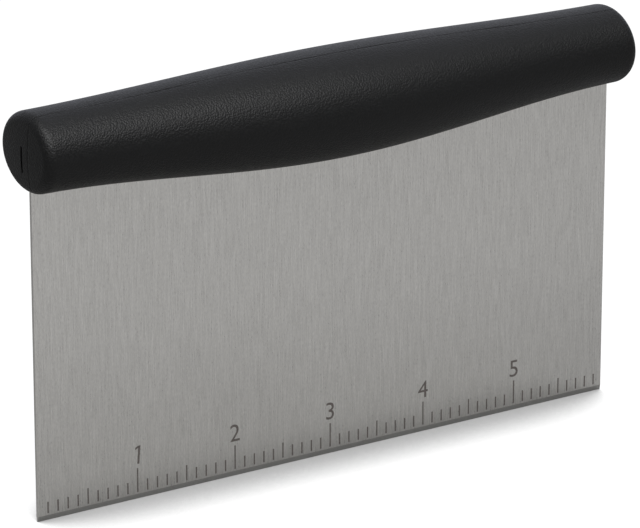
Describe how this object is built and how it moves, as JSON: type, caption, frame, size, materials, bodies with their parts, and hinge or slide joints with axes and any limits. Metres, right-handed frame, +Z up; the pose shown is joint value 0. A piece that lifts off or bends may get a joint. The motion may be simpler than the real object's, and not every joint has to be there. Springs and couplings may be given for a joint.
{
  "type": "dough cutter",
  "caption": "Bench scraper with a straight stainless blade, an inch ruler along its lower edge and a black barrel handle, for cutting, portioning and lifting dough.",
  "frame": {"origin": "middle of the cutting edge, on the surface that the edge stands on", "axes": "+X along the cutting edge towards the ruler's high end, +Y through the blade from its ruled face to its back, +Z up from the edge to the handle"},
  "size_m": [0.156, 0.0296, 0.0962],
  "materials": {
    "blade_steel": "brushed upright, satin, with dark etched ruler marks",
    "grip_black": "fine moulded grain, satin black",
    "pin_steel": "plain drawn wire"
  },
  "bodies": {
    "root": {"blade": "blade_steel", "grip_body": "grip_black", "grip_cover": "grip_black", "cross_pin_1": "pin_steel", "cross_pin_2": "pin_steel", "cross_pin_3": "pin_steel", "cross_pin_4": "pin_steel"}
  },
  "joints": []
}
